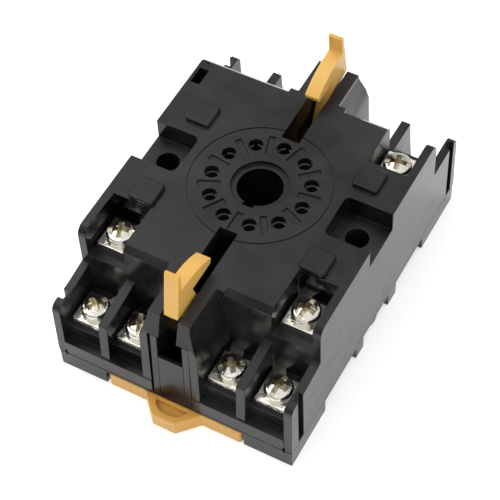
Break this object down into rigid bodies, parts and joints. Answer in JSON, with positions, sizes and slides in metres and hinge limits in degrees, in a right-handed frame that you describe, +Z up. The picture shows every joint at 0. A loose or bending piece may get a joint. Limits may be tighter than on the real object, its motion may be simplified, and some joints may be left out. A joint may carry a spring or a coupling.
{
  "type": "relay socket",
  "caption": "Round plug-in relay socket with stepped screw terminals, two swinging latches, panel screw holes and a rail clip",
  "frame": {"origin": "centre of the pin circle and of the two fixing holes, on the mounting plane", "axes": "+X right, +Y towards the back (away from the rail clip's tab), +Z up, out of the key bore"},
  "size_m": [0.0498, 0.074, 0.0392],
  "materials": {
    "housing": "fine satin moulded surface",
    "base": "fine satin moulded surface",
    "latch": "smooth, slightly translucent",
    "clip": "smooth, slightly translucent",
    "plate": "bright nickel plating on brass",
    "washer": "bright nickel plating on steel",
    "screw": "bright nickel plating on steel",
    "contact": "tinned"
  },
  "bodies": {
    "housing": {"upper_housing": "housing", "lower_base": "base", "plate_01": "plate", "plate_02": "plate", "plate_03": "plate", "plate_04": "plate", "plate_05": "plate", "plate_06": "plate", "plate_07": "plate", "plate_08": "plate", "plate_09": "plate", "plate_10": "plate", "plate_11": "plate", "contact_01": "contact", "contact_02": "contact", "contact_03": "contact", "contact_04": "contact", "contact_05": "contact", "contact_06": "contact", "contact_07": "contact", "contact_08": "contact", "contact_09": "contact", "contact_10": "contact", "contact_11": "contact"},
    "front_latch": {"front_latch": "latch"},
    "back_latch": {"back_latch": "latch"},
    "din_clip": {"din_clip": "clip"},
    "washer_01": {"washer_01": "washer"},
    "screw_01": {"screw_01": "screw"},
    "washer_02": {"washer_02": "washer"},
    "screw_02": {"screw_02": "screw"},
    "washer_03": {"washer_03": "washer"},
    "screw_03": {"screw_03": "screw"},
    "washer_04": {"washer_04": "washer"},
    "screw_04": {"screw_04": "screw"},
    "washer_05": {"washer_05": "washer"},
    "screw_05": {"screw_05": "screw"},
    "washer_06": {"washer_06": "washer"},
    "screw_06": {"screw_06": "screw"},
    "washer_07": {"washer_07": "washer"},
    "screw_07": {"screw_07": "screw"},
    "washer_08": {"washer_08": "washer"},
    "screw_08": {"screw_08": "screw"},
    "washer_09": {"washer_09": "washer"},
    "screw_09": {"screw_09": "screw"},
    "washer_10": {"washer_10": "washer"},
    "screw_10": {"screw_10": "screw"},
    "washer_11": {"washer_11": "washer"},
    "screw_11": {"screw_11": "screw"}
  },
  "joints": [
    {"name": "front_latch_swing", "type": "hinge", "parent": "housing", "child": "front_latch", "pos_m": [0, -0.0238, 0.0135], "axis": [1, 0, 0], "range_deg": [0, 18], "stiffness_Nm_per_rad": 0.03, "springref_deg": -5.73},
    {"name": "back_latch_swing", "type": "hinge", "parent": "housing", "child": "back_latch", "pos_m": [0, 0.0238, 0.0135], "axis": [-1, 0, 0], "range_deg": [0, 18], "stiffness_Nm_per_rad": 0.03, "springref_deg": -5.73},
    {"name": "din_clip_slide", "type": "slide", "parent": "housing", "child": "din_clip", "axis": [0, -1, 0], "range_m": [0, 0.004], "stiffness_N_per_m": 1200, "springref_m": -0.001},
    {"name": "terminal_01_lift", "type": "slide", "parent": "housing", "child": "washer_01", "axis": [0, 0, 1], "range_m": [0, 0.0018]},
    {"name": "terminal_01_turn", "type": "hinge", "parent": "washer_01", "child": "screw_01", "pos_m": [-0.01923, -0.0187, 0], "axis": [0, 0, 1], "range_deg": [0, 1080]},
    {"name": "terminal_02_lift", "type": "slide", "parent": "housing", "child": "washer_02", "axis": [0, 0, 1], "range_m": [0, 0.0018]},
    {"name": "terminal_02_turn", "type": "hinge", "parent": "washer_02", "child": "screw_02", "pos_m": [-0.01923, -0.0296, 0], "axis": [0, 0, 1], "range_deg": [0, 1080]},
    {"name": "terminal_03_lift", "type": "slide", "parent": "housing", "child": "washer_03", "axis": [0, 0, 1], "range_m": [0, 0.0018]},
    {"name": "terminal_03_turn", "type": "hinge", "parent": "washer_03", "child": "screw_03", "pos_m": [-0.00965, -0.0296, 0], "axis": [0, 0, 1], "range_deg": [0, 1080]},
    {"name": "terminal_04_lift", "type": "slide", "parent": "housing", "child": "washer_04", "axis": [0, 0, 1], "range_m": [0, 0.0018]},
    {"name": "terminal_04_turn", "type": "hinge", "parent": "washer_04", "child": "screw_04", "pos_m": [0.00965, -0.0296, 0], "axis": [0, 0, 1], "range_deg": [0, 1080]},
    {"name": "terminal_05_lift", "type": "slide", "parent": "housing", "child": "washer_05", "axis": [0, 0, 1], "range_m": [0, 0.0018]},
    {"name": "terminal_05_turn", "type": "hinge", "parent": "washer_05", "child": "screw_05", "pos_m": [0.01923, -0.0296, 0], "axis": [0, 0, 1], "range_deg": [0, 1080]},
    {"name": "terminal_06_lift", "type": "slide", "parent": "housing", "child": "washer_06", "axis": [0, 0, 1], "range_m": [0, 0.0018]},
    {"name": "terminal_06_turn", "type": "hinge", "parent": "washer_06", "child": "screw_06", "pos_m": [0.01923, -0.0187, 0], "axis": [0, 0, 1], "range_deg": [0, 1080]},
    {"name": "terminal_07_lift", "type": "slide", "parent": "housing", "child": "washer_07", "axis": [0, 0, 1], "range_m": [0, 0.0018]},
    {"name": "terminal_07_turn", "type": "hinge", "parent": "washer_07", "child": "screw_07", "pos_m": [0.01923, 0.0187, 0], "axis": [0, 0, 1], "range_deg": [0, 1080]},
    {"name": "terminal_08_lift", "type": "slide", "parent": "housing", "child": "washer_08", "axis": [0, 0, 1], "range_m": [0, 0.0018]},
    {"name": "terminal_08_turn", "type": "hinge", "parent": "washer_08", "child": "screw_08", "pos_m": [0.01923, 0.0275, 0], "axis": [0, 0, 1], "range_deg": [0, 1080]},
    {"name": "terminal_09_lift", "type": "slide", "parent": "housing", "child": "washer_09", "axis": [0, 0, 1], "range_m": [0, 0.0018]},
    {"name": "terminal_09_turn", "type": "hinge", "parent": "washer_09", "child": "screw_09", "pos_m": [0.00965, 0.0275, 0], "axis": [0, 0, 1], "range_deg": [0, 1080]},
    {"name": "terminal_10_lift", "type": "slide", "parent": "housing", "child": "washer_10", "axis": [0, 0, 1], "range_m": [0, 0.0018]},
    {"name": "terminal_10_turn", "type": "hinge", "parent": "washer_10", "child": "screw_10", "pos_m": [-0.00965, 0.0275, 0], "axis": [0, 0, 1], "range_deg": [0, 1080]},
    {"name": "terminal_11_lift", "type": "slide", "parent": "housing", "child": "washer_11", "axis": [0, 0, 1], "range_m": [0, 0.0018]},
    {"name": "terminal_11_turn", "type": "hinge", "parent": "washer_11", "child": "screw_11", "pos_m": [-0.01923, 0.0275, 0], "axis": [0, 0, 1], "range_deg": [0, 1080]}
  ],
  "couplings": [
    {"joint": "terminal_01_turn", "follows": "terminal_01_lift", "rad_per_m": 10472},
    {"joint": "terminal_02_turn", "follows": "terminal_02_lift", "rad_per_m": 10472},
    {"joint": "terminal_03_turn", "follows": "terminal_03_lift", "rad_per_m": 10472},
    {"joint": "terminal_04_turn", "follows": "terminal_04_lift", "rad_per_m": 10472},
    {"joint": "terminal_05_turn", "follows": "terminal_05_lift", "rad_per_m": 10472},
    {"joint": "terminal_06_turn", "follows": "terminal_06_lift", "rad_per_m": 10472},
    {"joint": "terminal_07_turn", "follows": "terminal_07_lift", "rad_per_m": 10472},
    {"joint": "terminal_08_turn", "follows": "terminal_08_lift", "rad_per_m": 10472},
    {"joint": "terminal_09_turn", "follows": "terminal_09_lift", "rad_per_m": 10472},
    {"joint": "terminal_10_turn", "follows": "terminal_10_lift", "rad_per_m": 10472},
    {"joint": "terminal_11_turn", "follows": "terminal_11_lift", "rad_per_m": 10472}
  ]
}
